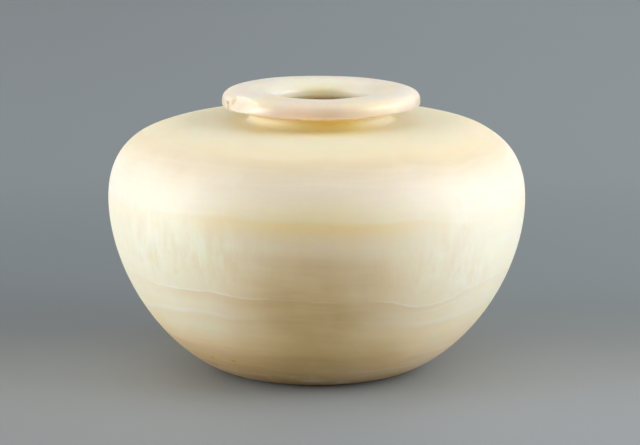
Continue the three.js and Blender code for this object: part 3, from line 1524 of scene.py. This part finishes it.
SEAMS = (
    Seam(
        name="shoulder_seam",
        height=98 * MM,
        path=(
            (-180, 99), (-140, 96), (-100, 95), (-72, 94.4), (-53, 97.4), (-43, 97.1), (-23, 99.1),
            (-10, 97.7), (1, 98.1), (9, 96.8), (29, 96.5), (43, 91.3), (60, 93.5), (90, 97),
            (135, 99.5),
        ),
        shown=(
            (-180, 0.4), (-72, 0.15), (-53, 0.12), (-38, 0.2), (-22, 0.6), (-8, 0.9), (10, 1.0),
            (18, 0.8), (30, 0.25), (43, 0.08), (90, 0.15),
        ),
        breadth=0.8 * MM,
        colour=(0.90, 0.78, 0.58),
        shade=(0.93, 0.73, 0.44),
        fade=15 * MM,
        shaded=1.0,
    ),
    Seam(
        name="upper_vein",
        height=57.5 * MM,
        path=(
            (-180, 60), (-150, 58.5), (-120, 61), (-90, 60.5), (-72, 59.5), (-58, 58.8),
            (-53, 57.3), (-38, 58.1), (-30, 59.3), (-25, 57.7), (-22, 57.1), (-8, 57.4), (3, 55.8),
            (11, 56), (18, 55.7), (23, 54.3), (29, 50.9), (33, 50.3), (39, 50.8), (43, 52.4),
            (48, 55.7), (55, 56.8), (61, 58.7), (80, 60), (110, 58), (145, 61),
        ),
        shown=(
            (-180, 0.5), (-120, 0.3), (-80, 0.3), (-62, 0.3), (-50, 0.45), (-40, 1.0), (-20, 1.0),
            (-5, 0.85), (4, 0.7), (8, 0.25), (13, 0.2), (18, 0.7), (30, 0.75), (42, 0.5),
            (55, 0.35), (70, 0.3), (110, 0.5), (150, 0.35),
        ),
        breadth=0.55 * MM,
        colour=(1.0, 0.94, 0.86),
        shade=(0.80, 0.61, 0.36),
        fade=9 * MM,
        shaded=0.4,
    ),
    Seam(
        name="fork",
        height=0.0,
        path=((0, 47), (37, 47), (44, 49), (52, 51.3), (60, 54), (68, 57), (180, 57)),
        shown=((26, 0), (34, 0.4), (55, 0.4), (66, 0)),
        breadth=0.55 * MM,
        colour=(0.99, 0.92, 0.83),
        shaded=0.0,
        guides=False,
    ),
    Seam(
        name="lower_vein",
        height=45.5 * MM,
        path=(
            (-180, 47), (-130, 45), (-90, 42.5), (-65, 41.3), (-52, 44.2), (-45, 45.2), (-39, 46.3),
            (-33, 46.1), (-28, 44.8), (-19, 45.8), (-8, 46), (10, 44), (22, 41.5), (34, 39.4),
            (44, 40.3), (60, 42), (100, 45), (140, 43.5),
        ),
        shown=(
            (-180, 0.3), (-90, 0.3), (-60, 0.45), (-45, 0.55), (-30, 0.5), (-15, 0.35), (-5, 0.2),
            (10, 0.1), (25, 0.25), (36, 0.45), (46, 0.35), (70, 0.2), (120, 0.4),
        ),
        breadth=1.3 * MM,
        colour=(0.97, 0.90, 0.80),
        shade=(0.80, 0.60, 0.34),
        fade=8 * MM,
    ),
    Seam(
        name="foot_seam",
        height=19.6 * MM,
        path=((-180, 19.6), (-90, 22.5), (-50, 22.4), (0, 19.6), (50, 16.8), (90, 17)),
        shown=((-180, 0.3), (-60, 0.45), (-20, 0.5), (10, 0.3), (40, 0.35), (90, 0.3)),
        breadth=1.5 * MM,
        colour=(0.76, 0.54, 0.37),
        shaded=0.0,
    ),
)


def stone_clouds(form: JarForm) -> list[Cloud]:
    """The soft patches of other colour that show in the stone, some of them painted light, glow and
    shade.

    Args:
        form: The jar's measurements.

    Returns:
        Them all, each at its place.
    """
    rim_mm = form.rim_offset / MM
    patches = {
        Mark.HONEY_AND_GLOW: (
            (mm(10, -37, 135.2), mm(27, 14, 3.6), 1.0, 0.1),  # painted amber glow and shade at the front of the groove
            (mm(rim_mm - 10, -10, 135.4), mm(42, 42, 3), 0.4, 0.1),  # painted shade in the groove all round
            (mm(rim_mm, 25, 142.5), mm(15, 8, 5), 0.35, 0.1),  # painted amber shade and glow on the far wall of the mouth
            (mm(-20, -33, 147.5), mm(16, 7, 2.5), 0.25),
            (mm(26, -40, 145), mm(16, 9, 5), 0.25),
            # Partly the stone's honey tone, partly painted warm shade on the body's front, which the
            # side lamps light less.
            (form.on_body(0, 100), mm(50, 30, 8), 0.34, 0.05),
            (form.on_body(0, 72), mm(56, 34, 18), 0.25, 0.05),
            (form.on_body(-1, 48), mm(34, 30, 17), 0.4, 0.05),
            (form.on_body(8, 26), mm(50, 34, 16), 0.3, 0.05),
            (mm(-4, -48, 139.4), mm(9, 6, 1.5), 0.6),  # round the cracks under the lip
            (mm(40.6, 6.8, 147.7), mm(3, 6, 3), 0.6),
        ),
        Mark.MILK_AND_LIGHT: (
            # Painted light: lighter on the shoulder in front of the groove, against the shade under the
            # lip.
            (mm(10, -46, 131), mm(40, 14, 5), 0.4),
            (mm(-31.5, -39, 143.5), mm(7, 7, 3), 0.8),  # painted highlight on the lip, at the flake's right end
            (form.on_body(-1, 5), mm(8, 8, 1.5), 0.4, 0.4),  # crust at the foot
            (mm(47, -20, 144), mm(8, 12, 3), 0.4),
            (mm(18, 0, 147), mm(5, 9, 4), 0.8),
        ),
        Mark.ROSE_AND_SHADE: (
            (mm(31, 4, 148), mm(8, 12, 4), 0.3),
            # Painted shade: pinkish tan on the lip's front face, which the lamps light less than its
            # top.
            (mm(-8, -50, 143), mm(24, 10, 8), 0.38),
        ),
        Mark.BROWN: (
            (mm(-33, -38, 138.7), mm(9, 6, 1.0), 0.45),
            # Partly the stone's brown bands, partly painted shade on the body's front, which the side
            # lamps light less.
            (form.on_body(0, 68), mm(38, 30, 20), 0.44, 0.05),
            (form.on_body(-2, 46), mm(36, 30, 15), 0.52, 0.05),
            (form.on_body(5, 19), mm(40, 34, 14), 0.6, 0.05),
        ),
        Mark.FEATHER: (
            (mm(-55.7, -94.5, 80), mm(26, 22, 14), 0.9),
            (mm(-38, -102, 75), mm(20, 18, 14), 0.5),
            (mm(-84.7, -69, 78), mm(28, 24, 16), 1.0),
            (mm(57, -92, 74), mm(28, 22, 14), 0.7),
            (mm(78, -72, 66), mm(26, 22, 14), 0.8),
            (form.on_body(2, 58), mm(40, 30, 12), 0.3),
        ),
    }
    return [Cloud(mark, *patch) for mark, marked in patches.items() for patch in marked]


def surface_pits(form: JarForm) -> list[Pit]:
    """The pits, nicks and cracks that show on the jar.

    Args:
        form: The jar's measurements.

    Returns:
        Them all, each at its place on the surface.
    """
    round_pit = mm(1.1, 1.1, 0.8)
    return [
        Pit(mm(-53.9, -53.0, 15.7), round_pit, 0.6 * MM, 0.6),
        Pit(mm(-42.6, -62.6, 15.9), round_pit, 0.6 * MM, 0.5),
        Pit(mm(-52.1, -43.0, 9.1), round_pit, 0.6 * MM, 0.7),
        Pit(mm(-71.4, -79.3, 67.3), mm(1.6, 1.6, 1.2), 0.25 * MM, 0.1),
        Pit(form.on_lip(-69, 2.9), mm(2.4, 2.4, 0.6), 0.7 * MM, 1.0),
        Pit(form.on_lip(-68, 0.7), mm(0.9, 0.9, 1.9), 0.4 * MM, 0.8),
        Pit(form.on_lip(-13, -1.5), mm(1.8, 1.8, 0.4), 0.35 * MM, 0.6),
        Pit(form.on_lip(-5, -2.0), mm(2.6, 2.0, 0.35), 0.35 * MM, 0.6),
        Pit(form.on_lip(1, -1.3), mm(0.5, 1.0, 1.0), 0.3 * MM, 0.5),
    ]


def main() -> None:
    """Builds the studio and the jar, and reports each piece."""
    logging.basicConfig(level=logging.INFO, format="%(name)s: %(message)s")
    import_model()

    studio = Studio()
    studio.aim()
    studio.lay_floor()
    studio.light_up()
    LOG.info("studio ready, with %d lights", len(studio.lights))

    form = JarForm.from_frame("jar")
    jar = Jar(form, pits=surface_pits(form), clouds=stone_clouds(form), seams=SEAMS)
    piece = jar.build("jar_surface")
    piece.data.materials.append(Calcite(form.jar_height, SEAMS).material("banded_calcite"))
    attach(piece, "root")
    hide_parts("jar")
    triangles = sum(len(face.vertices) - 2 for face in piece.data.polygons)
    LOG.info("%s: %d triangles", piece.name, triangles)


if __name__ == "__main__":
    main()
